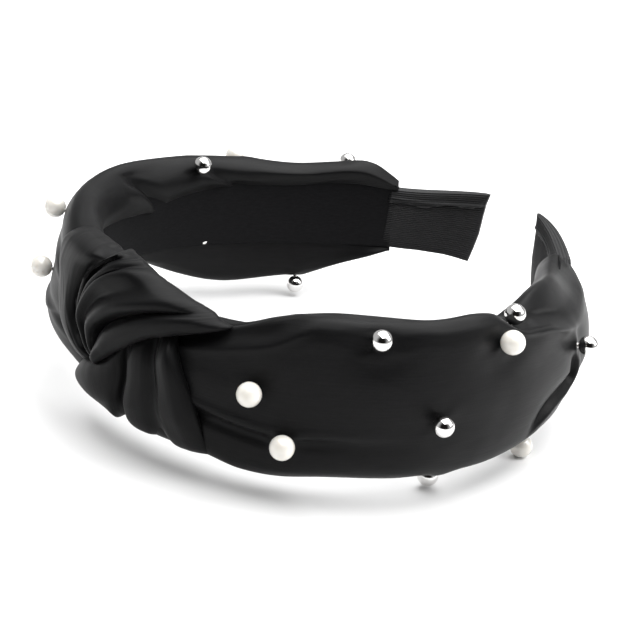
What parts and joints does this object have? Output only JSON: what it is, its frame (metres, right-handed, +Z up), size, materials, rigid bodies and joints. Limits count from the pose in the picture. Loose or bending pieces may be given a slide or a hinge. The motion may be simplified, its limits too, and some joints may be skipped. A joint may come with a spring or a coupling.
{
  "type": "headband",
  "caption": "Wide knotted fabric headband on a springy C-shaped core, set with pearls and polished balls on rivet posts; its two arms flex open.",
  "frame": {"origin": "on the surface the headband lies on, under the middle of its outline", "axes": "+Z up, across the band; +Y from the knot towards the two tips, along the headband's length; +X towards the right arm"},
  "size_m": [0.1514, 0.1594, 0.0502],
  "materials": {
    "satin": "black satin with a soft sheen",
    "lining": "matte black woven lining",
    "grosgrain": "black ribbed grosgrain ribbon",
    "plastic": "moulded black plastic",
    "pearl": "warm white pearl lacquer",
    "chrome": "polished"
  },
  "bodies": {
    "crown": {"crown_core": "plastic", "crown_lining": "lining", "knot_inner_strap": "satin", "knot_left_gather": "satin", "knot_over_wrap": "satin", "knot_under_wrap": "satin"},
    "right_arm": {"right_arm_core": "plastic", "right_arm_lining": "lining", "right_ball_1": "chrome", "right_ball_1_rivet": "chrome", "right_ball_2": "chrome", "right_ball_2_rivet": "chrome", "right_ball_3": "chrome", "right_ball_3_rivet": "chrome", "right_ball_4": "chrome", "right_ball_4_rivet": "chrome", "right_ball_5": "chrome", "right_ball_5_rivet": "chrome", "right_pearl_1": "pearl", "right_pearl_1_rivet": "chrome", "right_pearl_2": "pearl", "right_pearl_2_rivet": "chrome", "right_pearl_3": "pearl", "right_pearl_3_rivet": "chrome", "right_pearl_4": "pearl", "right_pearl_4_rivet": "chrome", "right_sleeve": "satin", "right_tip_ribbon": "grosgrain"},
    "left_arm": {"left_arm_core": "plastic", "left_arm_lining": "lining", "left_ball_1": "chrome", "left_ball_1_rivet": "chrome", "left_ball_2": "chrome", "left_ball_2_rivet": "chrome", "left_ball_3": "chrome", "left_ball_3_rivet": "chrome", "left_ball_4": "chrome", "left_ball_4_rivet": "chrome", "left_ball_5": "chrome", "left_ball_5_rivet": "chrome", "left_pearl_1": "pearl", "left_pearl_1_rivet": "chrome", "left_pearl_2": "pearl", "left_pearl_2_rivet": "chrome", "left_pearl_3": "pearl", "left_pearl_3_rivet": "chrome", "left_pearl_4": "pearl", "left_pearl_4_rivet": "chrome", "left_pearl_5": "pearl", "left_pearl_5_rivet": "chrome", "left_sleeve": "satin", "left_tip_ribbon": "grosgrain"}
  },
  "joints": [
    {"name": "right_arm_flex", "type": "hinge", "parent": "crown", "child": "right_arm", "pos_m": [0.02778, -0.0609, 0.02712], "axis": [0, 0, -1], "range_deg": [-2, 12], "stiffness_Nm_per_rad": 1},
    {"name": "left_arm_flex", "type": "hinge", "parent": "crown", "child": "left_arm", "pos_m": [-0.02771, -0.0609, 0.02712], "axis": [0, 0, 1], "range_deg": [-2, 12], "stiffness_Nm_per_rad": 1}
  ]
}
